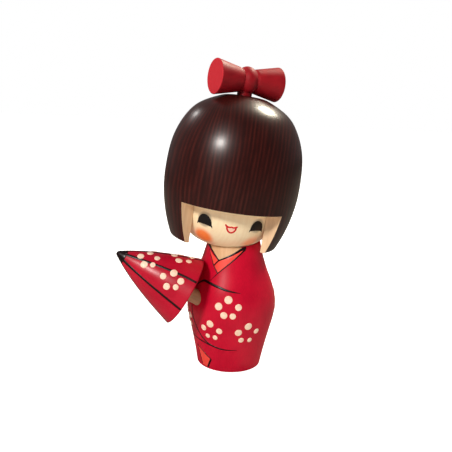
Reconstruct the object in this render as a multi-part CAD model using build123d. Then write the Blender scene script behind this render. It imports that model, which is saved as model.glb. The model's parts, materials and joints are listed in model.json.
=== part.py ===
from build123d import *
import math
import os

# A turned wooden kokeshi doll: a pear-shaped body, a round face ball glued inside a deep
# bell of hair that is cut open in front, a spool-shaped bow on a peg, and a half-closed
# parasol on a stick that plugs into the body. Millimetres. The origin is the centre of the
# flat foot, +Z is up, the doll faces -Y, and +X is on the right of someone facing it.

# ---- dowel stock and fits ----
DOWEL_R = 3.5
TURN_GAP = 0.05          # radial clearance of a push-fitted dowel in its hole
DISH_GAP = 0.3           # between the face ball and the dish in the body's top
SAW_EDGE = 0.3           # small rounding on turned edges

# ---- body, as (radius, height) up its outline ----
BODY_OUTLINE = [
    (15.9, 0.0), (17.0, 6.0), (20.0, 19.5), (22.0, 31.0),
    (20.0, 41.5), (17.0, 49.0), (14.5, 56.5), (12.9, 62.9),
]
BODY_TOP = 62.9

# ---- head: its frame is at the middle of the face ball, Z along the leaning head axis ----
HEAD_AT = (-3.7, 0.0, 79.8)
HEAD_LEAN = 6.6          # the top of the head leans towards +X
HEAD_TURN = 4.2          # the face looks a little towards +X
BALL_R = 23.3
BALL_HALF_HEIGHT = 19.5
BALL_POWER = 2.42        # fuller than an ellipse, which has 2
BALL_FLAT = 19.1         # height of the flat that seats against the crown
BORE_R = 23.4            # the hair bell's bore, a glue line wider than the ball

# Hair bell as (radius, height) in the head frame, from the rim to the crown.
HAIR_OUTLINE = [
    (25.9, -17.0), (27.7, -12.6), (30.9, -2.0), (32.4, 8.0), (32.4, 18.5),
    (30.6, 30.9), (27.1, 39.2), (21.4, 46.3), (13.3, 50.8), (0.0, 52.8),
]
HAIR_RIM = HAIR_OUTLINE[0][1]
HAIR_TOP = HAIR_OUTLINE[-1][1]
RIM_ROUND = 1.6
WINDOW_HALF_ANGLE = 46.0     # the wedge cut out of the bell to show the face
FRINGE_HEIGHT = 2.3          # flat underside of the fringe, in the head frame

# ---- bow and its peg ----
BOW_HEIGHT = 59.65           # the bow's middle, in the head frame
BOW_ASIDE = -0.8             # the peg stands a little beside the head's axis
BOW_TURN = 27.0              # the bow is skewed on the head
BOW_TILT = 1.6
BOW_HALF = 16.6
BOW_END_R = 8.25
BOW_NARROW_R = 5.7
BOW_CONE_START = 4.4
BOW_GROOVE_R = 5.2
BOW_GROOVE_AT = 3.3
BOW_BEAD_R = 6.5
BOW_BEAD_HALF = 2.4
BOW_BEAD_ROUND = 0.88        # the bead's edges, as a part of its middle radius
BOW_END_EDGE = 0.5
PEG_IN_HAIR = 9.0

# ---- neck dowel ----
NECK_IN_BODY = 13.0
NECK_IN_BALL = 13.0

# ---- parasol: its axis is given by a point inside the body and a direction ----
STICK_FROM = (0.0, -10.6, 27.0)
STICK_AZIMUTH = 84.0         # from -Y, the doll's front, towards -X
STICK_RISE = 29.5
SOCKET_FLOOR = 6.0           # along the stick's axis from STICK_FROM
CANOPY_BASE = 25.8
CANOPY_LENGTH = 38.5         # to the point that its sides would meet in
CANOPY_R = 17.45
CANOPY_BULGE = 0.50          # 0 would be a straight-sided cone
CANOPY_BULGE_FADE = 0.5      # how much less it bulges towards the rim
CANOPY_BLUNT = 1.1           # how much of the point the rounded tip leaves off
CANOPY_SIDE_FROM = 0.045     # where the side meets the rounded tip, as a part of the length
CANOPY_RIM_ROUND = 0.5
STICK_IN_CANOPY = 14.0
CANOPY_POINTS = 7


def head_place(turn):
    """Frame at the middle of the face ball, Z along the head axis, turned about it."""
    return Location(HEAD_AT, (0, HEAD_LEAN, turn))


def peg_place(turn):
    """Frame of the bow's peg, level with the face ball's middle and parallel to the head axis."""
    return head_place(0) * Location((BOW_ASIDE, 0, 0), (0, 0, turn))


def turned(profile):
    """Turn a closed XZ-plane profile about Z."""
    return revolve(profile, Axis.Z)


def filled(curves):
    """A face inside a closed chain of lines and curves."""
    return make_face(Wire([edge for curve in curves for edge in curve.edges()]))


def in_xz(points):
    """Points in the XZ plane from (radius, height) pairs."""
    return [(r, 0, z) for r, z in points]


def dowel(radius, low, high):
    """A cylinder about Z between two heights."""
    return Pos(0, 0, low) * Cylinder(radius, high - low, align=(Align.CENTER, Align.CENTER, Align.MIN))


def ball(grow):
    """The face ball, or a larger copy of it for the dish: a superellipse turned about Z."""
    radius = BALL_R + grow
    half = BALL_HALF_HEIGHT + grow
    steps = 12
    rim = []
    for i in range(2 * steps + 1):
        angle = math.pi * (i / (2 * steps) - 0.5)
        c = math.cos(angle)
        s = math.sin(angle)
        r = radius * abs(c) ** (2 / BALL_POWER)
        z = half * math.copysign(abs(s) ** (2 / BALL_POWER), s)
        rim.append((r, z))
    rim[0] = (0.0, -half)
    rim[-1] = (0.0, half)
    curve = Spline(*in_xz(rim), tangents=[(1, 0, 0), (-1, 0, 0)])
    return turned(filled([curve, Line(curve @ 1, curve @ 0)]))


def stick_place():
    """Frame on the parasol's axis: Z runs out of the body along the stick."""
    azimuth = math.radians(STICK_AZIMUTH)
    rise = math.radians(STICK_RISE)
    along = Vector(-math.sin(azimuth) * math.cos(rise), -math.cos(azimuth) * math.cos(rise), math.sin(rise))
    across = Vector(math.cos(azimuth), -math.sin(azimuth), 0)
    return Plane(origin=STICK_FROM, x_dir=across, z_dir=along).location


def make_body():
    side = Spline(*in_xz(BODY_OUTLINE))
    foot = Line((0, 0, 0), side @ 0)
    top = Line(side @ 1, (0, 0, BODY_TOP))
    solid = turned(filled([foot, side, top, Line(top @ 1, (0, 0, 0))]))
    solid = fillet(solid.edges(), SAW_EDGE)
    bottom = -BALL_HALF_HEIGHT
    solid -= head_place(0) * ball(DISH_GAP)
    solid -= head_place(0) * dowel(DOWEL_R, bottom - NECK_IN_BODY, bottom + NECK_IN_BALL)
    solid -= stick_place() * dowel(DOWEL_R + TURN_GAP, SOCKET_FLOOR, CANOPY_BASE)
    return solid


def make_neck_dowel():
    bottom = -BALL_HALF_HEIGHT
    return head_place(0) * dowel(DOWEL_R, bottom - NECK_IN_BODY, bottom + NECK_IN_BALL)


def make_face_ball():
    bottom = -BALL_HALF_HEIGHT
    solid = ball(0)
    solid -= dowel(BALL_R, BALL_FLAT, BALL_HALF_HEIGHT + 1)
    solid -= dowel(DOWEL_R + TURN_GAP, bottom - 1, bottom + NECK_IN_BALL)
    return head_place(HEAD_TURN) * solid


def window_wedge():
    """The wedge that is sawn out of the bell's front, up to the fringe."""
    reach = 2 * BALL_R
    half = math.radians(WINDOW_HALF_ANGLE)
    left = (-reach * math.sin(half), -reach * math.cos(half), 0)
    right = (reach * math.sin(half), -reach * math.cos(half), 0)
    face = make_face(Polyline((0, 0, 0), left, right, close=True))
    return Pos(0, 0, HAIR_RIM - 1) * extrude(face, FRINGE_HEIGHT - HAIR_RIM + 1, dir=(0, 0, 1))


def make_hair_shell():
    side = Spline(*in_xz(HAIR_OUTLINE), tangents=[(1.0, 0, 2.6), (-1, 0, 0)])
    rim = Line((0, 0, HAIR_RIM), side @ 0)
    solid = turned(filled([rim, side, Line(side @ 1, (0, 0, HAIR_RIM))]))
    solid = fillet(solid.edges().filter_by(GeomType.CIRCLE).sort_by(Axis.Z)[0], RIM_ROUND)
    solid -= dowel(BORE_R, HAIR_RIM - 1, BALL_FLAT)
    solid -= window_wedge()
    solid = head_place(HEAD_TURN) * solid
    return solid - peg_place(0) * dowel(DOWEL_R, HAIR_TOP - PEG_IN_HAIR, HAIR_TOP + 1)


def make_bow_peg():
    return peg_place(0) * dowel(DOWEL_R, HAIR_TOP - PEG_IN_HAIR, BOW_HEIGHT)


def make_bow():
    """A spool: two cones, small ends together, with a bead between V-grooves."""
    shoulder = BOW_BEAD_R * BOW_BEAD_ROUND
    bead = ThreePointArc(*in_xz([(shoulder, -BOW_BEAD_HALF), (BOW_BEAD_R, 0), (shoulder, BOW_BEAD_HALF)]))
    right = [
        (shoulder, BOW_BEAD_HALF), (BOW_GROOVE_R, BOW_GROOVE_AT),
        (BOW_NARROW_R, BOW_CONE_START), (BOW_END_R, BOW_HALF), (0, BOW_HALF),
    ]
    left = [(r, -z) for r, z in reversed(right)]
    right = Polyline(*in_xz(right))
    left = Polyline(*in_xz(left))
    spool = turned(filled([left, bead, right, Line(right @ 1, left @ 0)]))
    ends = [e for e in spool.edges().filter_by(GeomType.CIRCLE) if abs(abs(e.center().Z) - BOW_HALF) < 0.01]
    spool = fillet(ends, BOW_END_EDGE)
    spool = Location((0, 0, BOW_HEIGHT), (0, 90 - BOW_TILT, 0)) * spool
    spool -= dowel(DOWEL_R + TURN_GAP, HAIR_TOP, BOW_HEIGHT)
    return peg_place(BOW_TURN) * spool


def make_parasol_handle():
    return stick_place() * dowel(DOWEL_R, SOCKET_FLOOR, CANOPY_BASE + STICK_IN_CANOPY)


def make_parasol_canopy():
    """A furled canopy: a bulging cone with a rounded tip and a rounded lower edge."""
    point = CANOPY_BASE + CANOPY_LENGTH
    tip = point - CANOPY_BLUNT
    side_points = []
    for i in range(CANOPY_POINTS):
        t = CANOPY_SIDE_FROM + (1 - CANOPY_SIDE_FROM) * i / (CANOPY_POINTS - 1)
        bulge = CANOPY_BULGE * t * (1 - t) * (1 - CANOPY_BULGE_FADE * t)
        r = CANOPY_R * (t + bulge)
        side_points.append((r, point - CANOPY_LENGTH * t))
    side = Spline(*in_xz(side_points))
    cap = Spline((0, 0, tip), side @ 0, tangents=[(1, 0, 0), side % 0])
    base = Line(side @ 1, (0, 0, CANOPY_BASE))
    solid = turned(filled([cap, side, base, Line(base @ 1, (0, 0, tip))]))
    rim = solid.edges().filter_by(GeomType.CIRCLE).sort_by(Axis.Z)[0]
    solid = fillet(rim, CANOPY_RIM_ROUND)
    solid -= dowel(DOWEL_R + TURN_GAP, CANOPY_BASE - 1, CANOPY_BASE + STICK_IN_CANOPY)
    return stick_place() * solid


PARTS = {
    "body": make_body,
    "neck_dowel": make_neck_dowel,
    "face_ball": make_face_ball,
    "hair_shell": make_hair_shell,
    "bow_peg": make_bow_peg,
    "bow": make_bow,
    "parasol_handle": make_parasol_handle,
    "parasol_canopy": make_parasol_canopy,
}

os.makedirs("parts", exist_ok=True)
for name, make in PARTS.items():
    shape = make()
    export_step(shape, f"parts/{name}.step")
    box = shape.bounding_box()
    print(name, "volume", round(shape.volume), "z", round(box.min.Z, 2), round(box.max.Z, 2))
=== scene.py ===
"""Looks of the turned wooden kokeshi doll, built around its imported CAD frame.

Paint and the sizes of the pieces are in millimetres. Heights and azimuths are in the frame of
the turned piece they belong to: azimuth 0 faces the doll's front (-Y) and grows towards +X.
The camera, the lights and Blender's own coordinates are in metres.
"""
import json
import math

import bpy
from mathutils import Matrix, Vector
from mathutils.bvhtree import BVHTree
from mathutils.geometry import delaunay_2d_cdt


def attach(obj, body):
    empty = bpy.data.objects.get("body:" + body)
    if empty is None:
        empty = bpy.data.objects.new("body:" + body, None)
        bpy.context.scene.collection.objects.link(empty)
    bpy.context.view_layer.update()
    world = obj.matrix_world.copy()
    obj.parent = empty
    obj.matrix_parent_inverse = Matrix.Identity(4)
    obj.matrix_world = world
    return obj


MM = 0.001

# ---- camera ----
LOOK_AT = Vector((-0.00425, 0.0, 0.06955))
CAMERA_DISTANCE = 0.2935
CAMERA_RISE = 11.95          # degrees above the level
CAMERA_ROLL = 2.53
CAMERA_LENS = 47.7
SENSOR = 36.0

# ---- lights: name, azimuth, rise, distance, size, power, colour ----
LIGHTS = (
    ("key", -30, 33.5, 0.9, (0.13, 0.15), 6.2, (1.0, 0.96, 0.91)),
    ("back_right", 141, 49, 0.8, (0.20, 0.13), 6.4, (1.0, 0.93, 0.74)),
    ("back_left", -131, 36, 0.9, (0.06, 0.06), 0.6, (1.0, 0.98, 0.95)),
)
SKY_FRONT = 0.16             # strength of the light from behind the camera
SKY_BACK = 0.40
SKY_IN_GLOSS = 0.4           # part of it that glossy surfaces reflect
SKY_COLOUR = (1.0, 0.985, 0.97, 1)
WHITE = (1, 1, 1, 1)
FLOOR_HALF = 3.0
FLOOR_DARK = (0.72, 0.72, 0.72, 1)
FLOOR_LIGHT = (0.74, 0.74, 0.74, 1)
FLOOR_IN_GLOSS = (0.16, 0.15, 0.14, 1)
FLOOR_GLOW = 0.88            # brings the floor up to the white of the backdrop

# ---- turned pieces ----
HEAD_TURN = 4.2              # the face window's azimuth on the leaning head
WINDOW_HALF_ANGLE = 46.0
FRINGE_HEIGHT = 2.3
BORE_R = 23.4                # inside of the hair bell
CROWN_SEAT = 19.1            # where the bore ends
HAIR_R = 32.4
BOW_TURN = 27.0
BOW_HALF = 16.6
CANOPY_TIP_R = 1.3           # rounding of the parasol's tip
SOCKET_R = 3.6               # just outside the wall of the stick's hole in the body
SOCKET_FLOOR = -20.3         # measured back from the canopy's base

# ---- paint ----
PATCH_PAINT = 0.10           # thickness
THIN_PAINT = 0.07
SKIN_PAINT = 0.05
LINE_PAINT = 0.13
DOT_PAINT = 0.26
CAP_PAINT = 0.08
SUNK = 0.06                  # how far the underside of the paint lies inside the wood
PATCH_EDGE = 0.12            # width of a patch's rolled edge
BLOSSOM_POINTS = 5
RIB_COUNT = 7
RIB_START = 75.5
RIB_SWAY = (0.0, 3.0, 1.0, -2.0, 0.5, 2.0, -1.5)     # each was painted by hand
CAP_EDGE = 33.0              # height of the black cap's edge on the parasol
EYES = (                     # azimuth, height of the base, lean of the top, rise of its outer end
    (-29.6, -7.0, 0.02, 0.38),
    (35.0, -6.9, -0.11, 0.0),
)
EYE_HALF = 9.3               # degrees
EYE_RISE = 5.2
CHEEKS = (                   # azimuth, height, radii of full colour and of none, strength
    (-34.0, -13.2, 2.8, 6.1, 1.0),
    (37.0, -13.3, 1.5, 5.8, 0.65),
)
GRAIN_SPACING = 1.9          # between the hair's growth layers


def linear(red, green, blue):
    """A display colour, 0 to 255, as a linear RGBA tuple."""
    def one(c):
        c = c / 255
        return c / 12.92 if c <= 0.04045 else ((c + 0.055) / 1.055) ** 2.4
    return (one(red), one(green), one(blue), 1.0)


CRIMSON = linear(208, 10, 48)
CRIMSON_DEEP = linear(188, 7, 42)
PARASOL_RED = linear(194, 9, 44)
PARASOL_DEEP = linear(174, 6, 38)
CORAL = linear(252, 76, 62)
CREAM = linear(254, 230, 206)
CREAM_THIN = linear(252, 205, 176)
INK = linear(26, 8, 10)
BARE_WOOD = linear(238, 205, 168)
BARE_WOOD_DARK = linear(220, 182, 142)
FACE_WOOD = linear(252, 230, 192)
FACE_WOOD_DARK = linear(246, 218, 176)
NECK_WOOD = linear(226, 182, 138)
NECK_WOOD_DARK = linear(214, 166, 120)
# The stick's own wood tone, painted darker than the other bare wood as painted shade for its place under the
# canopy; the socket and the foot share it.
SHADED_STICK_WOOD = linear(200, 152, 112)
SHADED_STICK_WOOD_DARK = linear(172, 122, 86)
BLUSH = linear(255, 122, 30)
HAIR_RED = linear(70, 24, 19)
HAIR_BROWN = linear(54, 14, 11)
HAIR_BLACK = linear(40, 10, 8)
BOW_RED = linear(162, 14, 28)
BOW_DEEP = linear(144, 10, 24)
BOW_END_RED = linear(196, 34, 46)
MOUTH_RED = linear(214, 28, 34)
MOUTH_CREAM = linear(250, 205, 180)
EYE_BLACK = linear(24, 22, 24)
EYE_BLACK_DEEP = linear(16, 14, 16)
EYE_HAZE = linear(70, 66, 62)

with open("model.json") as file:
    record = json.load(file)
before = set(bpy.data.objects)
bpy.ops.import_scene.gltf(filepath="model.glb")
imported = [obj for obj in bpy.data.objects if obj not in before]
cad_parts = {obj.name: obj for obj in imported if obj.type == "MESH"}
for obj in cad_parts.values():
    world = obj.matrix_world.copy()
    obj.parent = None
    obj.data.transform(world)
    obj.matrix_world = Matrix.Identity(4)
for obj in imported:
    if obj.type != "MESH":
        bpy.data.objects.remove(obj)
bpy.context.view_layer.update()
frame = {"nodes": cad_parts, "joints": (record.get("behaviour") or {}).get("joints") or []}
joints = {joint["name"]: joint for joint in frame["joints"]}


# ======================================================================== frames of the pieces
def matrix_of(origin, x_axis, z_axis):
    """A frame in metres from its origin, X and Z directions."""
    z_axis = Vector(z_axis).normalized()
    x_axis = Vector(x_axis)
    x_axis = (x_axis - x_axis.dot(z_axis) * z_axis).normalized()
    turn = Matrix((x_axis, z_axis.cross(x_axis), z_axis)).transposed()
    return Matrix.Translation(Vector(origin)) @ turn.to_4x4()


head_axis = Vector(joints["head_turn"]["axis"])
level_head = matrix_of(joints["head_turn"]["pos_m"], (1, 0, 0), head_axis)
HEAD = level_head @ Matrix.Rotation(math.radians(HEAD_TURN), 4, "Z")
BODY = Matrix.Identity(4)
stick_axis = Vector(joints["parasol_turn"]["axis"])
CANOPY = matrix_of(joints["parasol_turn"]["pos_m"], (-stick_axis.y, stick_axis.x, 0), stick_axis)
bow_turn = math.radians(BOW_TURN)
bow_axis = level_head.to_3x3() @ Vector((math.cos(bow_turn), math.sin(bow_turn), 0))
BOW = matrix_of(joints["bow_turn"]["pos_m"], bow_axis, head_axis)


class Turned:
    """The outline of a CAD node that is turned about the Z axis of its own frame."""

    def __init__(self, node, place, low, high, azimuth, step=0.25):
        mesh = frame["nodes"][node].data
        points = [v.co.copy() for v in mesh.vertices]
        faces = [tuple(p.vertices) for p in mesh.polygons]
        tree = BVHTree.FromPolygons(points, faces)
        self.place = place
        self.low = low
        self.step = step
        self.radii = []
        turn = math.radians(azimuth)
        out = Vector((math.sin(turn), -math.cos(turn), 0))
        reach = 100 * MM
        for i in range(int((high - low) / step) + 1):
            height = (low + i * step) * MM
            start = place @ (out * reach + Vector((0, 0, height)))
            distance = tree.ray_cast(start, -(place.to_3x3() @ out))[3]
            self.radii.append(0.0 if distance is None else (reach - distance) / MM)

    def radius(self, height):
        at = (height - self.low) / self.step
        at = min(max(at, 0), len(self.radii) - 1.001)
        i = int(at)
        return self.radii[i] + (at - i) * (self.radii[i + 1] - self.radii[i])

    def slope(self, height):
        """Change of radius with height."""
        return (self.radius(height + 0.6) - self.radius(height - 0.6)) / 1.2

    def point(self, azimuth, height, lift=0.0):
        """Point in metres, row frame, lift millimetres above the surface."""
        slope = self.slope(height)
        unit = math.hypot(1, slope)
        radius = self.radius(height) + lift / unit
        level = height - lift * slope / unit
        turn = math.radians(azimuth)
        local = Vector((radius * math.sin(turn), -radius * math.cos(turn), level))
        return self.place @ (local * MM)

    def step_by(self, azimuth, height, right, up):
        """The surface position reached by going right and up along the surface, in mm."""
        unit = math.hypot(1, self.slope(height))
        new_height = height + up / unit
        new_azimuth = azimuth + math.degrees(right / max(self.radius(new_height), 0.5))
        return new_azimuth, new_height


body_side = Turned("body", BODY, 0.5, 62.0, 0)
ball_side = Turned("face_ball", HEAD, -17.0, 1.0, 0)
canopy_side = Turned("parasol_canopy", CANOPY, 0.25, 36.75, 150, 0.125)
to_canopy = CANOPY.inverted()
canopy_tip = max((to_canopy @ v.co).z for v in frame["nodes"]["parasol_canopy"].data.vertices) / MM


# ======================================================================== meshes
def mesh_object(name, points, faces, material, body):
    """A new smooth-shaded piece that moves with a body."""
    mesh = bpy.data.meshes.new(name)
    mesh.from_pydata([tuple(p) for p in points], [], faces)
    mesh.validate()
    mesh.update()
    for polygon in mesh.polygons:
        polygon.use_smooth = True
    mesh.materials.append(material)
    piece = bpy.data.objects.new(name, mesh)
    bpy.context.scene.collection.objects.link(piece)
    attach(piece, body)


class Paint:
    """Gathers raised paint on one turned surface and makes one piece of it."""

    def __init__(self, side):
        self.side = side
        self.points = []
        self.faces = []

    def fan(self, ring, middle):
        """Closes a ring, given by its points' numbers, with triangles around a new point."""
        self.points.append(middle)
        for i, a in enumerate(ring):
            self.faces.append((a, ring[(i + 1) % len(ring)], len(self.points) - 1))

    def rings(self, rings, top, bottom=None):
        """Joins rings of points, lowest first, and closes both ends.

        Without a bottom point the lower end is a single face.
        """
        start = len(self.points)
        count = len(rings[0])
        for ring in rings:
            self.points.extend(ring)
        for k in range(len(rings) - 1):
            a = start + k * count
            b = a + count
            for i in range(count):
                j = (i + 1) % count
                self.faces.append((a + i, a + j, b + j, b + i))
        lowest = tuple(reversed(range(start, start + count)))
        if bottom is None:
            self.faces.append(lowest)
        else:
            self.fan(lowest, bottom)
        last = start + (len(rings) - 1) * count
        self.fan(range(last, last + count), top)

    def dot(self, azimuth, height, radius):
        """A round drop of paint with a rolled edge, closed underneath."""
        side = self.side
        count = 28
        roll = 7

        def ring(size, lift):
            out = []
            for i in range(count):
                angle = 2 * math.pi * i / count
                at = side.step_by(azimuth, height, size * math.cos(angle), size * math.sin(angle))
                out.append(side.point(*at, lift))
            return out

        rings = [ring(radius, -SUNK)]
        for k in range(roll):
            angle = k / roll * math.pi / 2
            rings.append(ring(radius * (1 - 0.30 * (1 - math.cos(angle))), DOT_PAINT * 0.8 * math.sin(angle)))
        for part in (0.5, 0.3, 0.12):
            rings.append(ring(radius * part, DOT_PAINT * (1 - 0.2 * (part / 0.7) ** 2)))
        self.rings(rings, side.point(azimuth, height, DOT_PAINT))

    def stroke(self, path, widths):
        """A brush stroke along surface positions, smoothed, with a width at each."""
        side = self.side
        line = smooth_path([(a, h, w) for (a, h), w in zip(path, widths)])
        rows = []
        crest = (0.8 * LINE_PAINT, LINE_PAINT, 0.8 * LINE_PAINT)
        profile = ((-0.5, -SUNK), (-0.5, 0.0), (-0.36, crest[0]), (0.0, crest[1]), (0.36, crest[2]),
                   (0.5, 0.0), (0.5, -SUNK))
        for i, (azimuth, height, width) in enumerate(line):
            before = line[max(i - 1, 0)]
            after = line[min(i + 1, len(line) - 1)]
            right = math.radians(after[0] - before[0]) * side.radius(height)
            up = (after[1] - before[1]) * math.hypot(1, side.slope(height))
            length = math.hypot(right, up) or 1
            across = (-up / length, right / length)
            row = []
            for part, lift in profile:
                at = side.step_by(azimuth, height, across[0] * part * width, across[1] * part * width)
                row.append(side.point(*at, lift))
            rows.append(row)
        start = len(self.points)
        count = len(profile)
        for row in rows:
            self.points.extend(row)
        for k in range(len(rows) - 1):
            a = start + k * count
            b = a + count
            for i in range(count):
                j = (i + 1) % count
                self.faces.append((a + j, a + i, b + i, b + j))
        self.faces.append(tuple(range(start, start + count)))
        end = start + (len(rows) - 1) * count
        self.faces.append(tuple(reversed(range(end, end + count))))

    def patch(self, outline, thickness=PATCH_PAINT, grid=0.9, edge=PATCH_EDGE):
        """A painted area inside an outline of surface positions, closed underneath."""
        side = self.side
        middle = sum(h for a, h in outline) / len(outline)
        scale = math.radians(1) * side.radius(middle)
        border = dense_loop([(a * scale, h) for a, h in outline], 0.5)
        inset = inset_loop(border, edge)
        inside = [p for p in grid_points(border, grid) if distance_to_loop(p, border) > 2.5 * edge]
        flat = [Vector(p) for p in border + inset + inside]
        loop = [(i, (i + 1) % len(border)) for i in range(len(border))]
        flat, _, faces = delaunay_2d_cdt(flat, loop, [], 1, 1e-5)[:3]
        start = len(self.points)
        for p in flat:
            near = min(distance_to_loop(p, border) / edge, 1.0)
            lift = thickness * math.sin(near * math.pi / 2)
            self.points.append(side.point(p[0] / scale, p[1], lift))
        for p in flat:
            self.points.append(side.point(p[0] / scale, p[1], -SUNK))
        count = len(flat)
        edges = {}
        for face in faces:
            top = tuple(start + i for i in face)
            self.faces.append(top)
            self.faces.append(tuple(i + count for i in reversed(top)))
            for i in range(len(face)):
                a, b = top[i], top[(i + 1) % len(face)]
                if (b, a) in edges:
                    del edges[(b, a)]
                else:
                    edges[(a, b)] = True
        for a, b in edges:
            self.faces.append((b, a, a + count, b + count))

    def build(self, name, material, body):
        mesh_object(name, self.points, self.faces, material, body)


def smooth_path(points, pieces=8):
    """A Catmull-Rom curve through points with any number of values."""
    out = []
    last = len(points) - 1
    for i in range(last):
        p = [points[max(i - 1, 0)], points[i], points[i + 1], points[min(i + 2, last)]]
        for k in range(pieces):
            t = k / pieces
            out.append(tuple(
                0.5 * (2 * b + (c - a) * t + (2 * a - 5 * b + 4 * c - d) * t * t
                       + (3 * b - a - 3 * c + d) * t ** 3)
                for a, b, c, d in zip(*p)))
    out.append(points[-1])
    return out


def dense_loop(loop, step):
    """A closed loop with points no further apart than step."""
    out = []
    for (x0, y0), (x1, y1) in zip(loop, loop[1:] + loop[:1]):
        count = max(1, math.ceil(math.hypot(x1 - x0, y1 - y0) / step))
        for k in range(count):
            t = k / count
            out.append((x0 + (x1 - x0) * t, y0 + (y1 - y0) * t))
    return out


def distance_to_loop(p, loop):
    """Distance of a point from the nearest side of a closed loop."""
    best = 1e9
    for (x0, y0), (x1, y1) in zip(loop, loop[1:] + loop[:1]):
        dx, dy = x1 - x0, y1 - y0
        size = dx * dx + dy * dy or 1e-12
        t = min(max(((p[0] - x0) * dx + (p[1] - y0) * dy) / size, 0), 1)
        best = min(best, math.hypot(p[0] - x0 - t * dx, p[1] - y0 - t * dy))
    return best


def inside_loop(p, loop):
    inside = False
    for (x0, y0), (x1, y1) in zip(loop, loop[1:] + loop[:1]):
        if (y0 > p[1]) != (y1 > p[1]) and p[0] < x0 + (p[1] - y0) * (x1 - x0) / (y1 - y0):
            inside = not inside
    return inside


def inset_loop(loop, depth):
    """Points a depth inside a closed loop, where they fit."""
    out = []
    for i, (x, y) in enumerate(loop):
        x0, y0 = loop[i - 1]
        x1, y1 = loop[(i + 1) % len(loop)]
        size = math.hypot(x1 - x0, y1 - y0) or 1
        normal = (-(y1 - y0) / size, (x1 - x0) / size)
        for sign in (1, -1):
            p = (x + sign * normal[0] * depth, y + sign * normal[1] * depth)
            if inside_loop(p, loop) and distance_to_loop(p, loop) > 0.6 * depth:
                out.append(p)
    return out


def grid_points(loop, step):
    """Points inside a closed loop, in staggered rows."""
    low_x, high_x = min(x for x, y in loop), max(x for x, y in loop)
    low_y, high_y = min(y for x, y in loop), max(y for x, y in loop)
    out = []
    for i in range(1, int((high_x - low_x) / step) + 1):
        for j in range(1, int((high_y - low_y) / step) + 1):
            p = (low_x + i * step + (j % 2) * 0.3 * step, low_y + j * step)
            if inside_loop(p, loop):
                out.append(p)
    return out


# ======================================================================== materials
class Nodes:
    """Short calls for a material's node tree."""

    def __init__(self, name):
        self.material = bpy.data.materials.new(name)
        self.material.use_nodes = True
        self.tree = self.material.node_tree
        self.shader = next(n for n in self.tree.nodes if n.type == "BSDF_PRINCIPLED")

    def add(self, kind, inputs=None, output=0, **settings):
        made = self.tree.nodes.new(kind)
        for key, value in settings.items():
            setattr(made, key, value)
        for key, value in (inputs or {}).items():
            self.put(made.inputs[key], value)
        return made.outputs[output]

    def put(self, socket, value):
        if isinstance(value, bpy.types.NodeSocket):
            self.tree.links.new(value, socket)
        else:
            socket.default_value = value

    def sum(self, operation, first, second=0.0, third=0.0):
        return self.add("ShaderNodeMath", {0: first, 1: second, 2: third}, operation=operation)

    def position(self, place):
        """The shaded point in millimetres, in a piece's own frame."""
        at = self.add("ShaderNodeTexCoord", output=3)
        location = place.to_translation()
        rotation = place.to_euler("XYZ")
        return self.add("ShaderNodeMapping", {
            "Vector": at, "Location": location, "Rotation": rotation, "Scale": (MM, MM, MM),
        }, vector_type="TEXTURE")

    def split(self, vector):
        made = self.tree.nodes.new("ShaderNodeSeparateXYZ")
        self.put(made.inputs[0], vector)
        return made.outputs[0], made.outputs[1], made.outputs[2]

    def join(self, x, y, z):
        return self.add("ShaderNodeCombineXYZ", {0: x, 1: y, 2: z})

    def noise(self, vector, scale, detail=3.0, roughness=0.5):
        return self.add("ShaderNodeTexNoise", {
            "Vector": vector, "Scale": scale, "Detail": detail, "Roughness": roughness,
        })

    def ramp(self, value, stops):
        made = self.tree.nodes.new("ShaderNodeValToRGB")
        elements = made.color_ramp.elements
        while len(elements) < len(stops):
            elements.new(0.5)
        for element, (place, colour) in zip(elements, stops):
            element.position = place
            element.color = colour
        self.put(made.inputs[0], value)
        return made.outputs[0]

    def mix(self, factor, first, second):
        made = self.tree.nodes.new("ShaderNodeMix")
        made.data_type = "RGBA"
        self.put(made.inputs[0], factor)
        self.put(made.inputs[6], first)
        self.put(made.inputs[7], second)
        return made.outputs[2]

    def fade(self, value, start, end, low=0.0, high=1.0):
        """Smooth change from low at start to high at end."""
        return self.add("ShaderNodeMapRange", {
            "Value": value, "From Min": start, "From Max": end, "To Min": low, "To Max": high,
        }, interpolation_type="SMOOTHSTEP")

    def near(self, place_vector, centre, full, none):
        """1 within full millimetres of a point, 0 beyond none."""
        away = self.add("ShaderNodeVectorMath", {0: place_vector, 1: centre}, 1, operation="DISTANCE")
        return self.fade(away, none, full)

    def bump(self, height, distance):
        return self.add("ShaderNodeBump", {"Height": height, "Distance": distance, "Strength": 1.0})

    def stretched(self, values, scales, detail=3.0, roughness=0.5):
        """Noise that has its own scale along each of three values."""
        scaled = [self.sum("MULTIPLY", value, scale) for value, scale in zip(values, scales)]
        return self.noise(self.join(*scaled), 1.0, detail, roughness)

    def radius(self, x, y):
        return self.sum("SQRT", self.sum("MULTIPLY_ADD", x, x, self.sum("MULTIPLY", y, y)))

    def finish(self, colour, roughness, coat=0.0, coat_roughness=0.1, normal=None, specular=0.5):
        shader = self.shader
        self.put(shader.inputs["Base Color"], colour)
        self.put(shader.inputs["Roughness"], roughness)
        shader.inputs["Coat Weight"].default_value = coat
        shader.inputs["Coat Roughness"].default_value = coat_roughness
        shader.inputs["Specular IOR Level"].default_value = specular
        if normal is not None:
            self.put(shader.inputs["Normal"], normal)
            self.put(shader.inputs["Coat Normal"], normal)
        return self.material


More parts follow.
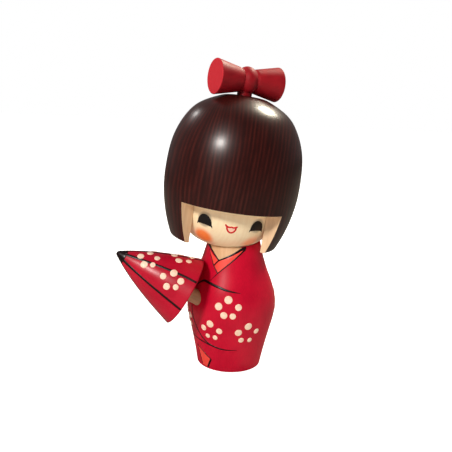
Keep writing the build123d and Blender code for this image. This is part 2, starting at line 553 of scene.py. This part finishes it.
def lacquer(name, colour, deep, place, roughness=0.33, coat=0.0, specular=0.30, drilled=False):
    """Opaque turned lacquer: faint turning lines and clouding over fine wood grain.

    A drilled piece shows bare wood in the parasol's socket and on its foot.
    """
    n = Nodes(name)
    at = n.position(place)
    x, y, z = n.split(at)
    clouds = n.noise(at, 0.09, 3.0)
    grain = n.stretched((x, y, z), (2.2, 2.2, 0.12))
    lines = n.stretched((0.0, 0.0, z), (1.0, 1.0, 5.0), 2.0)
    tone = n.sum("MULTIPLY_ADD", grain, 0.45, n.sum("MULTIPLY", clouds, 0.55))
    base = n.ramp(tone, [(0.32, deep), (0.62, colour)])
    if drilled:
        stick_x, stick_y, stick_z = n.split(n.position(CANOPY))
        near_axis = n.sum("LESS_THAN", n.radius(stick_x, stick_y), SOCKET_R)
        socket = n.sum("MULTIPLY", near_axis, n.sum("GREATER_THAN", stick_z, SOCKET_FLOOR))
        bare = n.sum("MAXIMUM", socket, n.sum("LESS_THAN", z, 0.1))
        # The socket and the foot take the stick's wood, whose colour carries painted shade.
        base = n.mix(bare, base, wood_tone(n, at, SHADED_STICK_WOOD, SHADED_STICK_WOOD_DARK))
    height = n.sum("MULTIPLY_ADD", lines, 0.5, n.sum("MULTIPLY", grain, 0.5))
    wear = n.fade(clouds, 0.35, 0.7, roughness - 0.04, roughness + 0.06)
    return n.finish(base, wear, coat, 0.2, n.bump(height, 0.012 * MM), specular)


def bare_wood(name, place, light=BARE_WOOD, dark=BARE_WOOD_DARK):
    n = Nodes(name)
    return n.finish(wood_tone(n, n.position(place), light, dark), 0.55)


def wood_tone(n, at, light, dark):
    """Colour of pale straight-grained wood, growth layers standing along Z."""
    x, y, z = n.split(at)
    wander = n.stretched((x, y, z), (0.05, 0.05, 0.02))
    layer = n.sum("MULTIPLY_ADD", wander, 9.0, n.sum("ADD", x, n.sum("MULTIPLY", y, 0.35)))
    rings = n.stretched((layer, 0.0, z), (0.55, 1.0, 0.01), 4.0, 0.6)
    fibre = n.stretched((x, y, z), (3.0, 3.0, 0.15))
    tone = n.sum("MULTIPLY_ADD", rings, 0.7, n.sum("MULTIPLY", fibre, 0.3))
    return n.ramp(tone, [(0.34, dark), (0.60, light)])


def hair_material():
    """Dark lacquer over open grain, and bare wood where the bell was sawn and bored."""
    n = Nodes("hair_wood")
    at = n.position(HEAD)
    x, y, z = n.split(at)
    radius = n.radius(x, y)
    azimuth = n.sum("ARCTAN2", n.sum("ABSOLUTE", x), n.sum("MULTIPLY", y, -1.0))
    # The grain runs up the bell and follows its outline on the -X side.
    lean = n.sum("MULTIPLY_ADD", z, -0.025, x)
    follow = n.sum("DIVIDE", n.sum("MULTIPLY", lean, HAIR_R), n.sum("MAXIMUM", radius, 4.0))
    side = n.fade(x, -4.0, -20.0)
    across = n.sum("MULTIPLY_ADD", n.sum("SUBTRACT", follow, lean), side, lean)
    drift = n.stretched((across, y, z), (0.12, 0.01, 0.022), 2.0)
    layer = n.sum("MULTIPLY_ADD", drift, 3.2, across)
    wave = n.sum("SINE", n.sum("MULTIPLY", layer, 2 * math.pi / GRAIN_SPACING))
    breaks = n.stretched((layer, 0.0, z), (0.5, 1.0, 0.07), 2.0)
    fine = n.stretched((layer, y, z), (1.15, 0.03, 0.035), 5.0, 0.65)
    pores = n.stretched((layer, y, z), (5.0, 0.4, 0.22), 2.0)
    bands = n.sum("MULTIPLY", n.sum("MULTIPLY_ADD", wave, 0.5, 0.5), n.fade(breaks, 0.3, 0.7, 0.35, 1.0))
    grain = n.sum("MULTIPLY_ADD", fine, 0.52, n.sum("MULTIPLY", pores, 0.14))
    tone = n.sum("MULTIPLY_ADD", bands, 0.34, grain)
    hair = n.ramp(tone, [(0.32, HAIR_BLACK), (0.47, HAIR_BROWN), (0.66, HAIR_RED)])
    # Bare wood inside the sawn window, and in the bore behind it.
    in_window = n.sum("LESS_THAN", azimuth, math.radians(WINDOW_HALF_ANGLE + 0.2))
    sawn = n.sum("MULTIPLY", in_window, n.sum("LESS_THAN", z, FRINGE_HEIGHT + 0.06))
    in_bore = n.sum("LESS_THAN", radius, BORE_R + 0.1)
    bored = n.sum("MULTIPLY", in_bore, n.sum("LESS_THAN", z, CROWN_SEAT + 0.1))
    bare = n.sum("MAXIMUM", sawn, bored)
    colour = n.mix(bare, hair, wood_tone(n, at, BARE_WOOD, BARE_WOOD_DARK))
    rough = n.sum("MULTIPLY_ADD", bare, 0.20, n.sum("MULTIPLY_ADD", pores, 0.08, 0.29))
    height = n.sum("MULTIPLY_ADD", pores, 0.5, n.sum("MULTIPLY", fine, 0.5))
    return n.finish(colour, rough, 0.22, 0.22, n.bump(height, 0.015 * MM), 0.32)


def on_ball(azimuth, height):
    """A point on the face ball in its own frame, in millimetres."""
    turn = math.radians(azimuth)
    radius = ball_side.radius(height)
    return (radius * math.sin(turn), -radius * math.cos(turn), height)


def face_material():
    """Pale wood with brushed-on cheeks and a grey haze around the eyes."""
    n = Nodes("face_wood")
    at = n.position(HEAD)
    colour = wood_tone(n, at, FACE_WOOD, FACE_WOOD_DARK)
    speckle = n.noise(at, 1.3, 3.0)
    for azimuth, height, full, none, strength in CHEEKS:
        cheek = n.near(at, on_ball(azimuth, height), full, none)
        cheek = n.sum("MULTIPLY", cheek, n.fade(speckle, 0.2, 0.8, strength * 0.85, strength))
        colour = n.mix(cheek, colour, BLUSH)
    for middle, base, lean, slant in EYES:
        haze = n.near(at, on_ball(middle, base + 2.6), 2.6, 4.3)
        colour = n.mix(n.sum("MULTIPLY", haze, 0.55), colour, EYE_HAZE)
    return n.finish(colour, 0.42, 0.25, 0.3, n.bump(speckle, 0.02 * MM))


def flat_paint(name, colour, deeper, place, roughness=0.45):
    """Brushed paint: slightly uneven in colour and gloss."""
    n = Nodes(name)
    at = n.position(place)
    brushed = n.noise(at, 0.9, 3.0)
    tone = n.ramp(brushed, [(0.3, deeper), (0.65, colour)])
    gloss = n.fade(brushed, 0.3, 0.7, roughness - 0.05, roughness + 0.05)
    return n.finish(tone, gloss, 0.1, 0.25, n.bump(brushed, 0.01 * MM), 0.3)


def bow_material():
    """Satin red lacquer, lighter on the bow's flat ends."""
    n = Nodes("bow_lacquer")
    at = n.position(BOW)
    clouds = n.noise(at, 0.25, 3.0)
    fine = n.noise(at, 2.5, 2.0)
    tone = n.ramp(clouds, [(0.3, BOW_DEEP), (0.65, BOW_RED)])
    x, y, z = n.split(at)
    end = n.fade(n.sum("ABSOLUTE", x), BOW_HALF - 0.4, BOW_HALF - 0.2)
    tone = n.mix(end, tone, BOW_END_RED)
    gloss = n.fade(clouds, 0.3, 0.7, 0.50, 0.60)
    return n.finish(tone, gloss, 0.0, 0.3, n.bump(fine, 0.003 * MM), 0.25)


# ======================================================================== paint on the body
def darker(colour, part=0.72):
    return (colour[0] * part, colour[1] * part, colour[2] * part, 1.0)


def blossom(paint, azimuth, height, reach, radii, spin=0.0):
    """A plum blossom of five drops, with their radii from the top, clockwise."""
    for i, radius in enumerate(radii):
        angle = math.radians(90 + spin - 360 / BLOSSOM_POINTS * i)
        at = paint.side.step_by(azimuth, height, reach * math.cos(angle), reach * math.sin(angle))
        paint.dot(*at, radius)


def dots(paint, places):
    """Drops of paint at (azimuth, height, radius), where a blossom isn't regular."""
    for azimuth, height, radius in places:
        paint.dot(azimuth, height, radius)


def paint_body(ink, coral, cream, skin):
    """Kimono: collar, sleeve lines, skirt opening and plum blossoms."""
    place = "doll_body"
    neck = Paint(body_side)
    neck.patch([(-64, 61.8), (-47, 59.1), (-28, 55.8), (0, 58.9), (19, 61.3), (15, 62.3), (-58, 62.3)],
               SKIN_PAINT)
    neck.build("collar_skin", skin, place)
    bands = Paint(body_side)
    bands.patch([(-58, 59.6), (-30, 55.5), (-36, 53.1)], THIN_PAINT)
    bands.patch([(-34.5, 52.6), (-28, 55.1), (-6, 57.9), (14, 60.6), (22, 61.0), (4, 57.3), (-25, 49.9)],
                THIN_PAINT)
    bands.build("collar_bands", coral, place)
    lines = Paint(body_side)
    lines.stroke([(-67, 61.9), (-56, 60.5), (-41, 58.1), (-27.5, 55.5)], [1.9, 1.3, 0.85, 0.7])
    lines.stroke([(26, 62.0), (20, 61.5), (13, 60.8), (-6, 58.2), (-28, 55.3), (-36, 52.9)],
                 [0.9, 1.6, 1.4, 1.0, 0.7, 0.5])
    lines.stroke([(-58, 59.6), (-45, 55.9), (-36, 52.8), (-25, 49.6)], [0.5, 0.5, 0.5, 0.6])
    lines.stroke([(24, 61.3), (5, 57.3), (-11, 53.6), (-25, 49.8), (-35, 46.0)], [1.0, 0.75, 0.6, 0.5, 0.12])
    lines.stroke([(-62, 41.8), (-52, 44.4), (-44, 45.3), (-24, 44.1), (-5, 42.6), (12, 41.7)],
                 [0.6, 1.0, 1.25, 1.2, 0.9, 0.1])
    lines.stroke([(-60, 32.4), (-58.5, 28.3), (-55, 23.5), (-49, 19.3), (-40.5, 16.2), (-30, 14.2),
                  (-16, 13.0), (-3, 12.6), (11, 12.6)],
                 [0.5, 0.6, 0.65, 0.7, 0.75, 0.9, 0.8, 0.5, 0.1])
    lines.stroke([(-72, 15.8), (-58, 15.2), (-42, 14.6), (-25, 13.6)], [0.3, 0.5, 0.7, 0.4])
    lines.stroke([(-60, 11.4), (-48, 9.2), (-31, 5.9)], [0.3, 0.45, 0.6])
    lines.stroke([(-31, 5.9), (-35, 3.4), (-39, 0.9)], [1.0, 1.1, 0.9])
    lines.stroke([(-60, 11.2), (-56, 6.5), (-52, 1.4)], [0.3, 0.45, 0.4])
    lines.build("kimono_lines", ink, place)
    skirt = Paint(body_side)
    skirt.patch([(-59, 11.0), (-46, 8.6), (-32, 5.7), (-39.5, 0.8), (-51.5, 1.2)], THIN_PAINT)
    skirt.build("skirt_opening", coral, place)
    flowers = Paint(body_side)
    dots(flowers, [(-4.3, 38.7, 1.9), (8.7, 35.4, 1.6), (2, 31.1, 1.5),
                   (-9, 31.3, 1.7), (-16.3, 35.3, 1.8)])
    dots(flowers, [(-27.3, 25.8, 1.85), (-14.8, 22.7, 1.55), (-21, 18.8, 1.25),
                   (-32.6, 19, 1.2), (-38, 22.9, 1.55)])
    dots(flowers, [(23.2, 25.6, 1.85), (37, 22.3, 1.4), (28.7, 17.9, 1.2),
                   (15.7, 18.3, 1.35), (10.7, 22.5, 1.75)])
    blossom(flowers, -77, 25.0, 4.2, (1.6, 1.6, 1.4, 1.3, 1.5))
    blossom(flowers, 96, 33.0, 4.3, (1.8, 1.6, 1.4, 1.5, 1.7), 8)
    blossom(flowers, 124, 20.0, 4.3, (1.8, 1.5, 1.3, 1.4, 1.7), -6)
    blossom(flowers, 178, 31.0, 4.4, (1.9, 1.6, 1.4, 1.5, 1.8), 4)
    blossom(flowers, -152, 19.0, 4.2, (1.8, 1.5, 1.3, 1.3, 1.6), -8)
    flowers.build("kimono_blossoms", cream, place)


# ======================================================================== painted face
def paint_face(ink, mouth_red, mouth_cream):
    """Half-round eyes with a lash at each corner, and a smiling mouth."""
    eyes = Paint(ball_side)
    for middle, base, lean, slant in EYES:
        outwards = math.copysign(slant, middle)
        dome = []
        steps = 18
        for k in range(steps + 1):
            angle = math.pi * k / steps
            across = math.cos(angle) + lean * math.sin(angle)
            rise = outwards * across + EYE_RISE * math.sin(angle) ** 0.85
            dome.append((middle + EYE_HALF * across, base + rise))
        lower = []
        for across in (-0.6, 0.0, 0.6):
            rise = outwards * across + 0.35 * (1 - across * across)
            lower.append((middle + EYE_HALF * across, base + rise))
        eyes.patch(dome + lower)
        for end in (-1, 1):
            corner = middle + end * EYE_HALF
            level = base + outwards * end
            eyes.stroke([(corner - end * 3.2, level + 1.7), (corner - end * 0.6, level + 0.5),
                         (corner + end * 0.6, level - 0.5)], [0.7, 0.8, 0.1])
    eyes.build("eyes", ink, "head")
    lips = Paint(ball_side)
    lips.stroke([(-5.0, -4.7), (-2.8, -5.6), (0.5, -5.9), (2.6, -5.7), (4.7, -5.9), (7.6, -5.6), (9.3, -5.1)],
                [0.6, 0.95, 0.85, 0.8, 0.85, 0.95, 0.65])
    lips.stroke([(-2.6, -5.7), (-2.1, -6.9), (-0.1, -8.0), (2.7, -8.4), (5.5, -8.0), (7.5, -6.9),
                 (7.8, -5.7)],
                [0.8, 0.9, 0.9, 0.95, 0.9, 0.9, 0.8])
    lips.build("mouth_line", mouth_red, "head")
    inner = Paint(ball_side)
    inner.patch([(-2.4, -5.9), (7.5, -5.8), (7.2, -7.0), (5.4, -8.0), (2.7, -8.3), (0.0, -8.0), (-2.0, -7.0)],
                SKIN_PAINT, 0.6, 0.1)
    inner.build("mouth_fill", mouth_cream, "head")


# ======================================================================== painted parasol
def paint_parasol(ink, cream):
    """Ribs and plum blossoms; the last four blossoms are on the side away from the front."""
    place = "parasol_cone"
    ribs = Paint(canopy_side)
    for i in range(RIB_COUNT):
        azimuth = RIB_START + 360 * i / RIB_COUNT
        sway = RIB_SWAY[i]
        path = [(azimuth - sway, 0.45), (azimuth - 0.3 * sway, 7), (azimuth, 15), (azimuth, 24),
                (azimuth, CAP_EDGE + 0.6)]
        ribs.stroke(path, [1.1, 1.15, 1.15, 1.1, 1.5])
    ribs.build("parasol_ribs", ink, place)
    flowers = Paint(canopy_side)
    dots(flowers, [(141, 27.3, 1.6), (167, 24, 1.5), (148, 20.4, 1.35),
                   (123.5, 20.9, 1.3), (114, 24.3, 1.7)])
    dots(flowers, [(109, 14.6, 1.5), (124.2, 11.1, 1.75), (115.5, 6.8, 1.6),
                   (102.2, 7.5, 1.35), (94.8, 11.1, 1.6)])
    dots(flowers, [(176, 13.6, 1.6), (157.5, 11.2, 1.7), (162, 6.9, 1.4),
                   (181, 5.7, 1.5), (197, 10.5, 1.6)])
    blossom(flowers, 228, 21.5, 3.9, (1.6, 1.5, 1.35, 1.4, 1.6), 10)
    blossom(flowers, 252, 9.5, 4.1, (1.7, 1.6, 1.4, 1.4, 1.6), -12)
    blossom(flowers, 291, 15.5, 4.0, (1.7, 1.5, 1.4, 1.4, 1.6), 6)
    blossom(flowers, 330, 9.0, 4.1, (1.7, 1.6, 1.4, 1.4, 1.6), 18)
    flowers.build("parasol_blossoms", cream, place)


def tip_paint(ink):
    """Black cap over the parasol's tip: up the side, then over the rounded point."""
    count = 48
    cap = Paint(canopy_side)
    rings = []
    for rise, lift in ((0.0, -SUNK), (0.0, 0.0), (0.2, CAP_PAINT), (1.4, CAP_PAINT), (2.6, CAP_PAINT),
                       (3.4, CAP_PAINT)):
        rings.append([canopy_side.point(360 * i / count, CAP_EDGE + rise, lift) for i in range(count)])
    reach = CANOPY_TIP_R + CAP_PAINT
    for rise in (40, 52, 64, 77):
        angle = math.radians(rise)
        radius = reach * math.cos(angle)
        height = canopy_tip - CANOPY_TIP_R + reach * math.sin(angle)
        ring = []
        for i in range(count):
            turn = 2 * math.pi * i / count
            ring.append(CANOPY @ (Vector((radius * math.sin(turn), -radius * math.cos(turn), height)) * MM))
        rings.append(ring)
    top = CANOPY @ Vector((0, 0, (canopy_tip + CAP_PAINT) * MM))
    cap.rings(rings, top, CANOPY @ Vector((0, 0, CAP_EDGE * MM)))
    cap.build("parasol_tip", ink, "parasol_cone")


# ======================================================================== studio
def area_light(name, azimuth, rise, distance, size, power, colour):
    """A soft light aimed at the doll; azimuth 0 is in front of it."""
    turn, up = math.radians(azimuth), math.radians(rise)
    way = Vector((math.sin(turn) * math.cos(up), -math.cos(turn) * math.cos(up), math.sin(up)))
    data = bpy.data.lights.new(name, "AREA")
    data.shape = "RECTANGLE"
    data.size, data.size_y = size
    data.energy = power
    data.color = colour
    lamp = bpy.data.objects.new(name, data)
    lamp.location = LOOK_AT + way * distance
    lamp.rotation_euler = way.to_track_quat("Z", "Y").to_euler()
    bpy.context.scene.collection.objects.link(lamp)


def make_studio():
    """Three lamps, and a backdrop that is white to the camera and dimmer to everything else."""
    for settings in LIGHTS:
        area_light(*settings)
    world = bpy.data.worlds.new("studio")
    bpy.context.scene.world = world
    world.use_nodes = True
    tree = world.node_tree
    tree.nodes.clear()
    out = tree.nodes.new("ShaderNodeOutputWorld")
    seen = tree.nodes.new("ShaderNodeBackground")
    seen.inputs[0].default_value = WHITE
    seen.inputs[1].default_value = 1.0
    lit = tree.nodes.new("ShaderNodeBackground")
    lit.inputs[0].default_value = SKY_COLOUR
    way = tree.nodes.new("ShaderNodeTexCoord")
    parts = tree.nodes.new("ShaderNodeSeparateXYZ")
    tree.links.new(way.outputs["Generated"], parts.inputs[0])
    behind = tree.nodes.new("ShaderNodeMapRange")
    behind.interpolation_type = "SMOOTHSTEP"
    behind.inputs["From Min"].default_value = -0.7
    behind.inputs["From Max"].default_value = 0.4
    behind.inputs["To Min"].default_value = SKY_FRONT
    behind.inputs["To Max"].default_value = SKY_BACK
    tree.links.new(parts.outputs[1], behind.inputs["Value"])
    path = tree.nodes.new("ShaderNodeLightPath")
    dim = tree.nodes.new("ShaderNodeMapRange")
    dim.inputs["To Min"].default_value = 1.0
    dim.inputs["To Max"].default_value = SKY_IN_GLOSS
    tree.links.new(path.outputs["Is Glossy Ray"], dim.inputs["Value"])
    strength = tree.nodes.new("ShaderNodeMath")
    strength.operation = "MULTIPLY"
    tree.links.new(behind.outputs[0], strength.inputs[0])
    tree.links.new(dim.outputs[0], strength.inputs[1])
    tree.links.new(strength.outputs[0], lit.inputs[1])
    choose = tree.nodes.new("ShaderNodeMixShader")
    tree.links.new(path.outputs["Is Camera Ray"], choose.inputs[0])
    tree.links.new(lit.outputs[0], choose.inputs[1])
    tree.links.new(seen.outputs[0], choose.inputs[2])
    tree.links.new(choose.outputs[0], out.inputs[0])
    bpy.context.scene.view_settings.view_transform = "Standard"


def make_floor():
    """A plain floor that the camera sees as white as the backdrop, with soft shadows."""
    half = FLOOR_HALF
    mesh = bpy.data.meshes.new("floor")
    corners = [(-half, -half, 0), (half, -half, 0), (half, half, 0), (-half, half, 0)]
    mesh.from_pydata(corners, [], [(0, 1, 2, 3)])
    floor = bpy.data.objects.new("floor", mesh)
    bpy.context.scene.collection.objects.link(floor)
    n = Nodes("floor_white")
    speck = n.noise(n.position(BODY), 0.02, 2.0)
    colour = n.ramp(speck, [(0.3, FLOOR_DARK), (0.7, FLOOR_LIGHT)])
    path = n.tree.nodes.new("ShaderNodeLightPath")
    colour = n.mix(path.outputs["Is Glossy Ray"], colour, FLOOR_IN_GLOSS)
    mesh.materials.append(n.finish(colour, 0.9, specular=0.1))
    n.shader.inputs["Emission Color"].default_value = WHITE
    glow = n.sum("MULTIPLY", path.outputs["Is Camera Ray"], FLOOR_GLOW)
    n.put(n.shader.inputs["Emission Strength"], glow)


def make_camera():
    """A camera in front of the doll, raised and rolled a little."""
    rise, roll = math.radians(CAMERA_RISE), math.radians(CAMERA_ROLL)
    forward = Vector((0, math.cos(rise), -math.sin(rise)))
    right = Vector((1, 0, 0))
    up = right.cross(forward)
    x_axis = math.cos(roll) * right + math.sin(roll) * up
    y_axis = -math.sin(roll) * right + math.cos(roll) * up
    data = bpy.data.cameras.new("camera")
    data.lens = CAMERA_LENS
    data.sensor_width = SENSOR
    data.clip_start = 0.01
    camera = bpy.data.objects.new("camera", data)
    turn = Matrix((x_axis, y_axis, -forward)).transposed()
    camera.matrix_world = Matrix.Translation(LOOK_AT - forward * CAMERA_DISTANCE) @ turn.to_4x4()
    bpy.context.scene.collection.objects.link(camera)
    bpy.context.scene.camera = camera


# ======================================================================== making it all
def dress(node, material):
    """Gives a CAD piece its material."""
    piece = frame["nodes"][node]
    piece.data.materials.clear()
    piece.data.materials.append(material)


make_camera()
make_studio()
make_floor()

body_ink = flat_paint("ink_body", INK, darker(INK), BODY, 0.38)
parasol_ink = flat_paint("ink_parasol", INK, darker(INK), CANOPY, 0.35)
face_ink = flat_paint("ink_face", EYE_BLACK, EYE_BLACK_DEEP, HEAD, 0.5)
dress("body", lacquer("body_lacquer", CRIMSON, CRIMSON_DEEP, BODY, 0.36, specular=0.2, drilled=True))
dress("parasol_canopy",
      lacquer("parasol_lacquer", PARASOL_RED, PARASOL_DEEP, CANOPY, 0.34, coat=0.10, specular=0.25))
dress("hair_shell", hair_material())
dress("face_ball", face_material())
dress("bow", bow_material())
dress("bow_peg", lacquer("peg_lacquer", BOW_DEEP, darker(BOW_DEEP), HEAD))
dress("neck_dowel", bare_wood("neck_wood", HEAD))
# The stick's wood is painted darker as painted shade for its place under the canopy.
dress("parasol_handle", bare_wood("shaded_stick_wood", CANOPY, SHADED_STICK_WOOD, SHADED_STICK_WOOD_DARK))
paint_body(body_ink, flat_paint("coral", CORAL, darker(CORAL, 0.9), BODY),
           flat_paint("cream_body", CREAM, CREAM_THIN, BODY, 0.5),
           bare_wood("collar_wood", BODY, NECK_WOOD, NECK_WOOD_DARK))
paint_face(face_ink, flat_paint("mouth_red", MOUTH_RED, darker(MOUTH_RED, 0.85), HEAD),
           flat_paint("mouth_cream", MOUTH_CREAM, darker(MOUTH_CREAM, 0.95), HEAD))
paint_parasol(parasol_ink, flat_paint("cream_parasol", CREAM, CREAM_THIN, CANOPY, 0.5))
tip_paint(parasol_ink)
